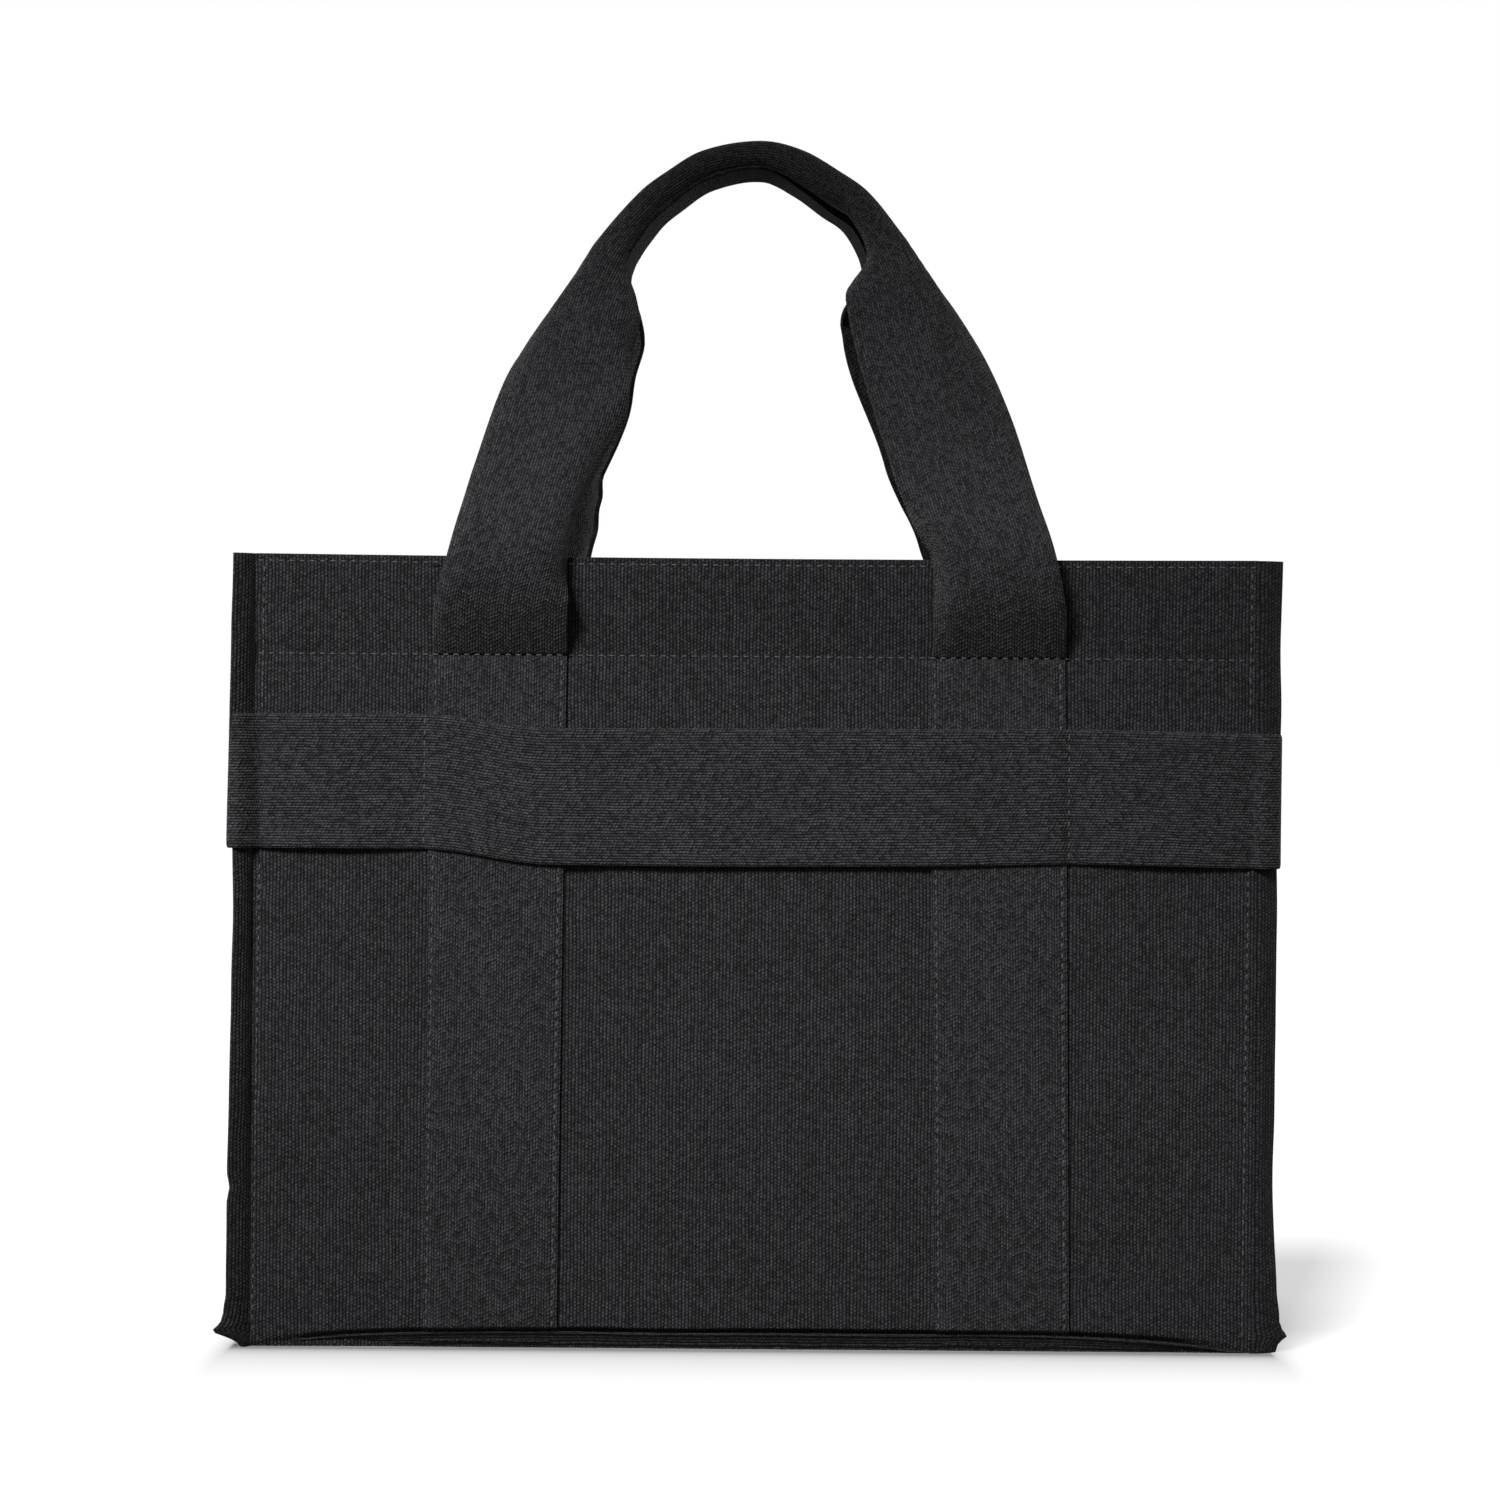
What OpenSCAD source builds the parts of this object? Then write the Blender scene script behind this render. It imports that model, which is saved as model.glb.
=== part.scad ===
// Structured canvas tote bag with webbing straps, a belt and two webbing handles.
// Millimetres. X to the right seen from the front, Y to the back, Z up.
// The origin is at the bottom centre, on the floor that the bag stands on.

/* [Body] */
// Width of the front and back panels between the corner stitching
panel_w = 382; // [300:1:520]
// Height of the rim above the floor
body_h = 300; // [240:1:400]
// Depth between the outer faces of the front and back panels
body_d = 160; // [110:1:240]
// Thickness of the canvas
canvas_t = 1.6; // [0.8:0.1:3]

/* [Rim facing] */
// Height of the canvas facing that is sewn inside the rim
facing_h = 36; // [20:1:60]
// Thickness of the facing
facing_t = 1.2; // [0.6:0.1:2.5]

/* [Seams] */
// Reach of a corner seam's flange from its stitching
seam_w = 10; // [6:0.5:16]
// Thickness of a folded and topstitched seam flange
seam_t = 2.4; // [1.2:0.1:4]
// Angle at which the corner flanges lie back from the front and back panels
seam_lay = 26; // [10:1:40]
// Extra reach of the ear at the foot of a corner flange
ear_reach = 6.4; // [2:0.2:12]
// Height at which the ear starts to stand out
ear_h = 16; // [8:1:30]
// Height of the ear's tip above the floor
ear_tip_z = 5; // [3:0.5:7]
// Reach of the base seam's flange round the foot of the bag
base_seam_w = 8; // [5:0.5:14]

/* [Base board] */
// Thickness of the stiffening board in the base
board_t = 2.5; // [1:0.1:5]
// Clearance between the board and the panels round it
board_gap = 2; // [0.5:0.5:6]
// Radius of the board's corners
board_r = 6; // [2:1:20]

/* [Straps] */
// Width of the webbing of the straps and handles
strap_w = 51.5; // [36:0.5:58]
// Thickness of the webbing
web_t = 2; // [1.2:0.1:2.6]
// Distance from the centre line to the middle of each strap
strap_x = 96; // [84:1:112]

/* [Belt] */
// Width of the belt's webbing
belt_w = 51.5; // [30:0.5:70]
// Height of the belt's lower edge above the floor
belt_z = 185.5; // [60:0.5:200]
// Gap between the panel and the middle of the belt's loose loops
belt_rise = 7; // [5:0.5:14]
// Run of belt in which it steps down from a strap to the panel
belt_step = 6; // [3:0.5:12]
// Run of belt in which it comes down from a corner flange to the gusset
belt_turn = 10; // [6:0.5:16]

/* [Handles] */
// Height of the middle of a grip above the rim
handle_rise = 165; // [120:1:240]
// Distance from the centre line to the waist where a grip opens into a leg
waist_x = 57.3; // [46:0.5:68]
// Height of the grip's middle above the waists
waist_drop = 46.2; // [36:0.5:60]
// Height of the rolled webbing at the grip
grip_h = 12.6; // [9:0.2:18]
// Depth of the rolled webbing at the grip, front to back
grip_d = 24; // [16:0.5:28]
// Gap between the two grips where the handles lean together
grip_gap = 3; // [1:0.5:12]
// Angle through which the rolled webbing is curled at the grip
grip_curl = 330; // [280:5:340]
// Running clearance between a handle and the sewn pieces beside it
handle_gap = 0.3; // [0.2:0.1:1]

/* [Hidden] */

canvas_colour = [0.17, 0.17, 0.18];
facing_colour = [0.15, 0.15, 0.16];
seam_colour = [0.13, 0.13, 0.14];
webbing_colour = [0.21, 0.21, 0.22];
board_colour = [0.10, 0.10, 0.10];

half_w = panel_w / 2;
half_d = body_d / 2;
inner_w = half_w - canvas_t;
inner_d = half_d - canvas_t;
hem_z = body_h - facing_h;

// ---- Canvas panels ----

// A flat piece given by its lowest and highest corners.
module slab(low, high) {
    translate(low) cube(high - low);
}

module front_panel() {
    color(canvas_colour) slab([-half_w, -half_d, 0], [half_w, -inner_d, body_h]);
}

module back_panel() {
    color(canvas_colour) slab([-half_w, inner_d, 0], [half_w, half_d, body_h]);
}

module left_gusset() {
    color(canvas_colour) slab([-half_w, -inner_d, 0], [-inner_w, inner_d, body_h]);
}

module right_gusset() {
    color(canvas_colour) slab([inner_w, -inner_d, 0], [half_w, inner_d, body_h]);
}

module base_panel() {
    color(canvas_colour) slab([-inner_w, -inner_d, 0], [inner_w, inner_d, canvas_t]);
}

// ---- Stiffening board, loose on the base panel ----

board_x = inner_w - board_gap;
board_y = inner_d - board_gap;

module base_board() {
    color(board_colour) translate([0, 0, canvas_t]) {
        slab([-board_x + board_r, -board_y, 0], [board_x - board_r, board_y, board_t]);
        slab([-board_x, -board_y + board_r, 0], [board_x, board_y - board_r, board_t]);
        for (sx = [-1, 1], sy = [-1, 1])
            translate([sx * (board_x - board_r), sy * (board_y - board_r), 0])
                cylinder(r = board_r, h = board_t, $fn = 48);
    }
}

// ---- Facings, sewn to the inside of the rim ----

module front_facing() {
    color(facing_colour)
        slab([-inner_w, -inner_d, hem_z], [inner_w, -inner_d + facing_t, body_h]);
}

module back_facing() {
    color(facing_colour)
        slab([-inner_w, inner_d - facing_t, hem_z], [inner_w, inner_d, body_h]);
}

// The facing of one gusset, between the front and back facings.
module gusset_facing() {
    side = inner_d - facing_t;
    color(facing_colour) slab([inner_w - facing_t, -side, hem_z], [inner_w, side, body_h]);
}

module right_facing() {
    gusset_facing();
}

module left_facing() {
    mirror([1, 0, 0]) gusset_facing();
}

// ---- Corner seams: turned and topstitched flanges with an ear at the foot ----

ear_foot = 0.3;  // share of the ear's reach that is left at the floor
ear_w = seam_w + ear_reach;
flange_profile = [[-seam_t, 0], [seam_w + ear_reach * ear_foot, 0], [ear_w, ear_tip_z],
    [seam_w, ear_h], [seam_w, body_h], [-seam_t, body_h]];

// The front right flange. The flat plate is stood up, turned back from the
// front panel and cut off at the plane of the gusset's outer face.
module corner_seam() {
    color(seam_colour) intersection() {
        translate([half_w, -half_d, 0])
            rotate([0, 0, seam_lay])
                translate([0, seam_t, 0])
                    rotate([90, 0, 0])
                        linear_extrude(seam_t) polygon(flange_profile);
        translate([half_w, -body_d, 0]) cube([panel_w, 2 * body_d, body_h]);
    }
}

module front_right_seam() {
    corner_seam();
}

module front_left_seam() {
    mirror([1, 0, 0]) corner_seam();
}

module back_right_seam() {
    mirror([0, 1, 0]) corner_seam();
}

module back_left_seam() {
    mirror([1, 0, 0]) mirror([0, 1, 0]) corner_seam();
}

// ---- Base seams: the flange that the bag stands on, outside the panels ----

// Depth that a corner flange and its ear take up behind the panel's face
corner_depth = ear_w * sin(seam_lay) + seam_t / cos(seam_lay);

module front_base_seam() {
    color(seam_colour) slab([-half_w, -half_d - base_seam_w, 0], [half_w, -half_d, seam_t]);
}

module back_base_seam() {
    mirror([0, 1, 0]) front_base_seam();
}

module right_base_seam() {
    side = half_d - corner_depth;
    color(seam_colour) slab([half_w, -side, 0], [half_w + base_seam_w, side, seam_t]);
}

module left_base_seam() {
    mirror([1, 0, 0]) right_base_seam();
}

// ---- Straps, sewn flat to the panels from the base seam to the facing's stitching ----

strap_in = strap_x - strap_w / 2;
strap_out = strap_x + strap_w / 2;

module strap() {
    color(webbing_colour)
        slab([strap_in, -half_d - web_t, seam_t], [strap_out, -half_d, hem_z - handle_gap]);
}

module front_right_strap() {
    strap();
}

module front_left_strap() {
    mirror([1, 0, 0]) strap();
}

module back_right_strap() {
    mirror([0, 1, 0]) strap();
}

module back_left_strap() {
    mirror([1, 0, 0]) mirror([0, 1, 0]) strap();
}

// ---- Belt: one run of webbing right round the bag ----
// It is sewn at the straps' outer edges and at the corners, and is loose in
// between. This is the belt's inner face in one quarter, from above.

loop_steps = 10;
flange_tip = [half_w + seam_w * cos(seam_lay), -half_d + seam_w * sin(seam_lay)];
flange_back = flange_tip + seam_t * [-sin(seam_lay), cos(seam_lay)];

// Distance of the loose loop's inner face from the panel at x
function loop_rise(x) = web_t + (belt_rise - web_t) * (1 - pow(x / strap_out, 2));

quarter = concat(
    [for (i = [0:loop_steps]) let (x = strap_out * i / loop_steps) [x, -half_d - loop_rise(x)]],
    [[strap_out + belt_step, -half_d], [half_w, -half_d], flange_tip, flange_back,
        [half_w, flange_back.y + belt_turn]]);

function reversed(points) = [for (i = [len(points) - 1:-1:0]) points[i]];
function flipped(points, sx, sy) = [for (p = points) [sx * p.x, sy * p.y]];
// All but the first point, which the quarter before has already given
function rest(points) = [for (i = [1:len(points) - 1]) points[i]];

belt_half = concat(quarter, reversed(flipped(quarter, 1, -1)));
belt_inside = concat(belt_half, [for (p = rest(reversed(rest(belt_half)))) [-p.x, p.y]]);

function unit(v) = v / norm(v);
// The points of a closed anticlockwise outline, moved outwards by d
function grown(points, d) = let (n = len(points)) [for (i = [0:n - 1])
    let (a = unit(points[i] - points[(i + n - 1) % n]),
        b = unit(points[(i + 1) % n] - points[i]),
        out = unit([a.y + b.y, -a.x - b.x]))
    points[i] + out * d / (out * [a.y, -a.x])];

module belt() {
    color(webbing_colour) translate([0, 0, belt_z]) linear_extrude(belt_w) difference() {
        polygon(grown(belt_inside, web_t));
        polygon(belt_inside);
    }
}

// ---- Handles: one webbing each, flat at the legs and rolled at the grip ----
// Each turns about the lower edge of its legs, at the facing's stitching.

foot_y = -half_d - handle_gap - web_t / 2;
grip_y = -(grip_gap + 2 * grip_d - web_t) / 2;
rim_bend = 16;      // height over which a leg bends in over the rim
waist_slope = 11;   // angle of the waist from the vertical
crown_pull = 22;    // pull of the curve's control point at the grip's middle
waist_pull = 18;    // the same above the waist
leg_pull = 34;      // the same below the waist
foot_pull = [3, 54];  // the same above the leg's foot, inwards and up
roll_start = 145;   // depth below the grip's middle where the webbing starts to curl
roll_full = 35;     // depth below the grip's middle where it is fully curled

grip_z = body_h + handle_rise;
crown = [0, grip_z];
waist = [waist_x, grip_z - waist_drop];
foot = [strap_x, hem_z];
down = [sin(waist_slope), -cos(waist_slope)];
grip_curve = [crown, crown + [crown_pull, 0], waist - waist_pull * down, waist];
leg_curve = [waist, waist + leg_pull * down, foot + [-foot_pull.x, foot_pull.y], foot];

function bezier(c, t) = pow(1 - t, 3) * c[0] + 3 * pow(1 - t, 2) * t * c[1]
    + 3 * (1 - t) * t * t * c[2] + pow(t, 3) * c[3];

grip_steps = 14;
leg_steps = 24;
half_route = concat([for (i = [0:grip_steps - 1]) bezier(grip_curve, i / grip_steps)],
    [for (i = [0:leg_steps]) bezier(leg_curve, i / leg_steps)]);
// Front view of the webbing's middle, from the left foot over to the right foot
route = concat([for (p = reversed(rest(half_route))) [-p.x, p.y]], half_route);

// How far in a leg stands at height z, and its slope there
lean = (grip_y - foot_y) / (handle_rise - rim_bend / 2);
function lean_y(z) = let (h = z - body_h)
    foot_y + lean * (h <= 0 ? 0 : h < rim_bend ? h * h / (2 * rim_bend) : h - rim_bend / 2);
function lean_slope(z) = lean * min(max((z - body_h) / rim_bend, 0), 1);

// 0 where the webbing is flat, 1 where it is rolled
function rolled(z) = let (t = (z - grip_z + roll_start) / (roll_start - roll_full))
    pow(min(max(t, 0), 1), 2);

// Cross-section: u runs across the webbing from -1 to 1. The two edges curl away
// from the front, and the full curl is as high and deep as the grip.
section_steps = 10;
curl_r = strap_w / (grip_curl * PI / 180);
squeeze_w = (grip_h - web_t) / (2 * curl_r);
squeeze_d = (grip_d - web_t) / (2 * curl_r);
function curled(u, roll) = let (a = max(grip_curl * roll, 0.5) / 2, r = strap_w / (a * PI / 90))
    [r * sin(a * u) * (1 + (squeeze_w - 1) * roll), r * (cos(a * u) - 1) * (1 + (squeeze_d - 1) * roll)];
function across(u, roll) = let (e = 0.02, d = curled(u + e, roll) - curled(u - e, roll))
    unit([-d.y, d.x]);
function section(roll) = let (h = web_t / 2, steps = [0:section_steps])
    concat([for (i = steps) let (u = 2 * i / section_steps - 1) curled(u, roll) + h * across(u, roll)],
        [for (i = steps) let (u = 1 - 2 * i / section_steps) curled(u, roll) - h * across(u, roll)]);

function at(i) = [route[i].x, lean_y(route[i].y), route[i].y];
function along(i) = let (last = len(route) - 1) unit(at(min(i + 1, last)) - at(max(i - 1, 0)));
// One ring of points round the webbing, square to its route
function ring(i) = let (z = route[i].y, roll = rolled(z),
        t = i == 0 ? [0, 0, 1] : i == len(route) - 1 ? [0, 0, -1] : along(i),
        lay = [0, -1, lean_slope(z) * (1 - roll)],
        front = unit(lay - (lay * t) * t),
        side = cross(t, front))
    [for (p = section(roll)) at(i) + p.x * side + p.y * front];

ring_n = 2 * (section_steps + 1);
handle_points = [for (i = [0:len(route) - 1]) each ring(i)];
handle_faces = concat(
    [[for (j = [ring_n - 1:-1:0]) j]],
    [for (i = [0:len(route) - 2], j = [0:ring_n - 1]) let (a = i * ring_n, k = (j + 1) % ring_n)
        [a + j, a + k, a + ring_n + k, a + ring_n + j]],
    [[for (j = [0:ring_n - 1]) (len(route) - 1) * ring_n + j]]);

module front_handle() {
    color(webbing_colour) polyhedron(handle_points, handle_faces, convexity = 6);
}

module back_handle() {
    mirror([0, 1, 0]) front_handle();
}

front_panel();
back_panel();
left_gusset();
right_gusset();
base_panel();
base_board();
front_facing();
back_facing();
left_facing();
right_facing();
front_left_seam();
front_right_seam();
back_left_seam();
back_right_seam();
front_base_seam();
back_base_seam();
left_base_seam();
right_base_seam();
front_left_strap();
front_right_strap();
back_left_strap();
back_right_strap();
belt();
front_handle();
back_handle();
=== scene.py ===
import math
import bmesh
import bpy
from mathutils import Matrix, Vector, noise


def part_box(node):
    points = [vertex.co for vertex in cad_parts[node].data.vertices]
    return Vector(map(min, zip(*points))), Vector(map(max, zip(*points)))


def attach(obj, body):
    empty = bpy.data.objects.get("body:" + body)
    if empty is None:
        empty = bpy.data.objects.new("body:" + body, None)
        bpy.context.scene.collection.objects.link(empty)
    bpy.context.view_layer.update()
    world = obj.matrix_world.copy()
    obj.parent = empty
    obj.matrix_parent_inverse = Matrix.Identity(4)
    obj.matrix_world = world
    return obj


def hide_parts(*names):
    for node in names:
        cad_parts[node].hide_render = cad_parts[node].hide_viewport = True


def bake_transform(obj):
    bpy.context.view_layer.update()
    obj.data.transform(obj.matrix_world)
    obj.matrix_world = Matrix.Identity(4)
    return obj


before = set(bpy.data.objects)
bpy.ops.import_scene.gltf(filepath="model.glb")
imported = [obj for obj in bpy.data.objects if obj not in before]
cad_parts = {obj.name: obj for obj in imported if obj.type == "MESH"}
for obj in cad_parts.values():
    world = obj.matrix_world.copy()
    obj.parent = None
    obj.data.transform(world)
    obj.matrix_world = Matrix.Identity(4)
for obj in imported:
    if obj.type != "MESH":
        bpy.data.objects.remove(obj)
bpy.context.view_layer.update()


# ==== Camera and studio ====
# A level camera looks straight at the front, a little above mid height. A soft
# lamp with a grid lights the front from the upper left and fades towards the
# grip and the floor. A weak one fills in, and two behind light the other sides.
camera_data = bpy.data.cameras.new("camera")
camera_data.lens = 97.7
camera_data.sensor_width = 36
camera = bpy.data.objects.new("camera", camera_data)
camera.location = (-0.0023, -1.630, 0.2285)
camera.rotation_euler = (math.radians(90), math.radians(-0.44), 0)
bpy.context.collection.objects.link(camera)
bpy.context.scene.camera = camera
bpy.context.scene.view_settings.view_transform = "Standard"


def soft_lamp(name, place, aim, size, watts, spread=180):
    """A lamp behind a round or oval sheet of paper; spread is its grid, in degrees."""
    data = bpy.data.lights.new(name, "AREA")
    data.shape = "ELLIPSE"
    data.size, data.size_y = size
    data.energy = watts
    data.spread = math.radians(spread)
    lamp = bpy.data.objects.new(name, data)
    lamp.location = place
    lamp.rotation_euler = (Vector(aim) - Vector(place)).to_track_quat("-Z", "Y").to_euler()
    bpy.context.collection.objects.link(lamp)


BAG_MIDDLE = (0, 0, 0.2)
soft_lamp("key", (-0.68, -1.28, 1.16), (-0.065, -0.08, 0.15), (1.0, 0.5), 2.1, spread=27)
soft_lamp("fill", (0.3, -2.3, 0.5), BAG_MIDDLE, (1.4, 1.4), 5.5)
for name, x in (("left back", -1.9), ("right back", 1.9)):
    soft_lamp(name, (x, 1.4, 0.7), BAG_MIDDLE, (1.4, 1.4), 24)


def node(tree, kind, inputs=None, **settings):
    """One shader node, with its settings and what goes into its sockets."""
    made = tree.nodes.new(kind)
    for name, value in settings.items():
        setattr(made, name, value)
    for key, value in (inputs or {}).items():
        if isinstance(value, bpy.types.NodeSocket):
            tree.links.new(value, made.inputs[key])
        else:
            made.inputs[key].default_value = value
    return made


def calc(tree, how, *values):
    """A Math node's result."""
    inputs = dict(enumerate(values))
    return node(tree, "ShaderNodeMath", inputs, operation=how).outputs[0]


def ramp(tree, value, start, end, low=0.0, high=1.0, **settings):
    """From low, where the value is at start or before, to high at its end."""
    inputs = {0: value, 1: start, 2: end, 3: low, 4: high}
    return node(tree, "ShaderNodeMapRange", inputs, **settings).outputs[0]


def seen_directly(tree):
    """1 for a ray from the camera, a mirror or glass, and 0 for bounced light."""
    ray = node(tree, "ShaderNodeLightPath")
    both = calc(tree, "MAXIMUM", ray.outputs["Is Camera Ray"], ray.outputs["Is Glossy Ray"])
    return calc(tree, "MAXIMUM", both, ray.outputs["Is Transmission Ray"])


world = bpy.data.worlds.new("studio")
bpy.context.scene.world = world
world.use_nodes = True
tree = world.node_tree
tree.nodes.clear()
room = node(tree, "ShaderNodeBackground", {"Color": (1, 1, 1, 1), "Strength": 0.035})
paper = node(tree, "ShaderNodeBackground", {"Color": (1, 1, 1, 1), "Strength": 1.0})
sides = {0: seen_directly(tree), 1: room.outputs[0], 2: paper.outputs[0]}
either = node(tree, "ShaderNodeMixShader", sides)
node(tree, "ShaderNodeOutputWorld", {0: either.outputs[0]})


def new_material(name):
    """A new material, its node tree and its shader."""
    made = bpy.data.materials.new(name)
    made.use_nodes = True
    return made, made.node_tree, made.node_tree.nodes["Principled BSDF"]


def placed(name, bm, material):
    """The finished bmesh as an object in the scene."""
    mesh = bpy.data.meshes.new(name)
    bm.to_mesh(mesh)
    bm.free()
    mesh.materials.append(material)
    piece = bpy.data.objects.new(name, mesh)
    bpy.context.collection.objects.link(piece)
    return piece


# The floor is white paper to the eye, all the way back, and throws little light
# up. Its glow near the bag is lowered in a painted shadow, most of it on the right.
PAPER_WHITE = 1.02
DARKEST = 0.12
# How deep the painted shadow is at the bag, and how far it takes to fade
WIDE_SHADE = (0.54, 0.07)
CLOSE_SHADE = (0.42, 0.006)
RIGHT_SHADE = 0.4
# Half the foot's width and depth. The width counts 8 times, so that the
# painted shadow soon ends beyond the corners.
FOOT = (8 * 0.1975, 0.083, 0)


def painted_shadow_fade(tree, away, depth, reach):
    return calc(tree, "MULTIPLY", calc(tree, "EXPONENT", calc(tree, "MULTIPLY", away, -1 / reach)), depth)


floor_material, tree, _ = new_material("paper_floor")
tree.nodes.clear()
place = node(tree, "ShaderNodeTexCoord").outputs["Object"]
apart = node(tree, "ShaderNodeVectorMath", {0: place}, operation="ABSOLUTE").outputs[0]
apart = node(tree, "ShaderNodeVectorMath", {0: apart, 1: (8, 1, 1)}, operation="MULTIPLY").outputs[0]
past = node(tree, "ShaderNodeVectorMath", {0: apart, 1: FOOT}, operation="SUBTRACT").outputs[0]
past = node(tree, "ShaderNodeVectorMath", {0: past, 1: (0, 0, 0)}, operation="MAXIMUM").outputs[0]
away = node(tree, "ShaderNodeVectorMath", {0: past}, operation="LENGTH").outputs["Value"]
near = calc(tree, "ADD", painted_shadow_fade(tree, away, *WIDE_SHADE), painted_shadow_fade(tree, away, *CLOSE_SHADE))
spot = node(tree, "ShaderNodeSeparateXYZ", {0: place})
x, y = spot.outputs[0], spot.outputs[1]
# The right-hand painted shadow's far edge slants away from the bag
edge = calc(tree, "MULTIPLY_ADD", y, 0.19, 0.253)
right = ramp(tree, calc(tree, "SUBTRACT", edge, x), 0.0, 0.04, 0.0, RIGHT_SHADE)
right = calc(tree, "MULTIPLY", right, ramp(tree, x, 0.15, 0.19))
right = calc(tree, "MULTIPLY", right, ramp(tree, y, -0.09, -0.01))
right = calc(tree, "MULTIPLY", right, ramp(tree, y, 0.2, 0.33, 1.0, 0.0))
# The glow is the paper's white less the painted shadow
strength = calc(tree, "SUBTRACT", PAPER_WHITE, calc(tree, "ADD", right, near))
strength = calc(tree, "MAXIMUM", strength, DARKEST)
glow = node(tree, "ShaderNodeEmission", {"Color": (1, 1, 1, 1), "Strength": strength})
lit = node(tree, "ShaderNodeBsdfDiffuse", {"Color": (0.2, 0.2, 0.2, 1)})
shown = node(tree, "ShaderNodeAddShader", {0: lit.outputs[0], 1: glow.outputs[0]})
dull = node(tree, "ShaderNodeBsdfDiffuse", {"Color": (0.05, 0.05, 0.05, 1)})
sides = {0: seen_directly(tree), 1: dull.outputs[0], 2: shown.outputs[0]}
mixed = node(tree, "ShaderNodeMixShader", sides)
node(tree, "ShaderNodeOutputMaterial", {0: mixed.outputs[0]})
bm = bmesh.new()
bmesh.ops.create_grid(bm, x_segments=2, y_segments=2, size=60)
floor = placed("floor", bm, floor_material)


# ==== Front and back panels ====
# Heavy plain-weave cotton canvas, dyed charcoal black. The panels bow out a
# little, sag at the rim and are drawn in by the facing's stitching, and every
# piece sewn to them follows the same bow.
MM = 0.001
panel_low, panel_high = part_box("front_panel")
HALF_W = panel_high.x
FACE = -panel_low.y
CANVAS_T = panel_high.y - panel_low.y
RIM = panel_high.z
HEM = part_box("front_facing")[0].z
RIM_ROW = RIM - 2.4 * MM


def steps(*spans):
    """Places along a cloth: each span is (from, to, number of steps)."""
    places = [spans[0][0]]
    for start, end, count in spans:
        places += [start + (end - start) * i / count for i in range(1, count + 1)]
    return places


def eased(table, x):
    """The value at x in a short table of (x, value), with no corners."""
    if x <= table[0][0]:
        return table[0][1]
    for (x0, a), (x1, b) in zip(table, table[1:]):
        if x <= x1:
            t = (x - x0) / (x1 - x0)
            return a + (b - a) * t * t * (3 - 2 * t)
    return table[-1][1]


def bell(x, width):
    """1 at 0, falling softly to nothing over about twice the width."""
    return math.exp(-(x / width) ** 2)


# How far the middle of a panel bows out: (height, bow)
BOW = [(0, 2 * MM), (20 * MM, 2.2 * MM), (80 * MM, 2.8 * MM), (160 * MM, 3.2 * MM),
       (225 * MM, 2.9 * MM), (264 * MM, 1.7 * MM), (300 * MM, 3.6 * MM)]


def foot_line(x):
    """Height at which a panel turns in over its base seam: the floor at the corners."""
    return (7.4 * (1 - (x / HALF_W) ** 6) + 0.2 + 0.6 * noise.noise(Vector((x * 14, 2.2, 6)))) * MM


def out_at(x, z):
    """How far the canvas stands out from the middle of the bag at x and z."""
    across = 1 - (x / HALF_W) ** 2
    bow = eased(BOW, z) * across
    hem = (0.7 * bell(z - HEM, 12 * MM) + 0.45 * bell(z - HEM, 2.6 * MM)) * MM
    top = 0.3 * MM * bell(z - RIM_ROW, 1.4 * MM)
    below = 1 - eased([(0, 0), (1.5 * MM, 1)], z - foot_line(x) + 0.5 * MM)
    foot = (3 + 2 * across) * MM * below * (1 - 0.75 * (x / HALF_W) ** 6) + 0.4 * MM * bell(z, 12 * MM)
    uneven = noise.noise(Vector((x * 9, z * 7, 3.1))) * 0.8 * MM
    uneven += noise.noise(Vector((x * 26, z * 15, 8.4))) * 0.25 * MM
    corner = 0.5 * MM * bell(HALF_W - abs(x), 5 * MM)
    return FACE + bow + uneven * across * min(z / (30 * MM), 1) - hem - top - foot - corner


def rim_lift(x, z):
    """The cloth near the rim stands a little proud, least in the middle of a panel."""
    return (2 - 0.9 * (1 - (x / HALF_W) ** 2)) * MM * max(0, (z - HEM) / (RIM - HEM)) ** 1.5


def cloth(name, us, vs, place, thickness, material, edge=0.5 * MM, back=False, along_u=False):
    """A sheet of cloth: place(u, v) is a point of its outer face. It gets its
    thickness inwards and rounded edges. Its UV map is the cloth laid flat."""
    bm = bmesh.new()
    flat = bm.loops.layers.uv.new("weave")
    bmesh.ops.create_grid(bm, x_segments=len(us) - 1, y_segments=len(vs) - 1, size=0.5)
    spot = {}
    for v in bm.verts:
        i = round((v.co.x + 0.5) * (len(us) - 1))
        j = round((v.co.y + 0.5) * (len(vs) - 1))
        spot[v] = (us[i], vs[j])
    for f in bm.faces:
        f.smooth = True
        for corner in f.loops:
            u, v = spot[corner.vert]
            corner[flat].uv = (v, u) if along_u else (u, v)
    turn = -1 if back else 1
    for v in bm.verts:
        p = place(*spot[v])
        v.co = Vector((p[0], p[1] * turn, p[2]))
    if back:
        bmesh.ops.reverse_faces(bm, faces=bm.faces)
    piece = placed(name, bm, material)
    wall = piece.modifiers.new("wall", "SOLIDIFY")
    wall.thickness = thickness
    wall.offset = -1
    wall.use_even_offset = True
    soft = piece.modifiers.new("soft_edges", "BEVEL")
    soft.width = edge
    soft.segments = 2
    soft.limit_method = "ANGLE"
    soft.angle_limit = math.radians(50)
    return piece


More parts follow.
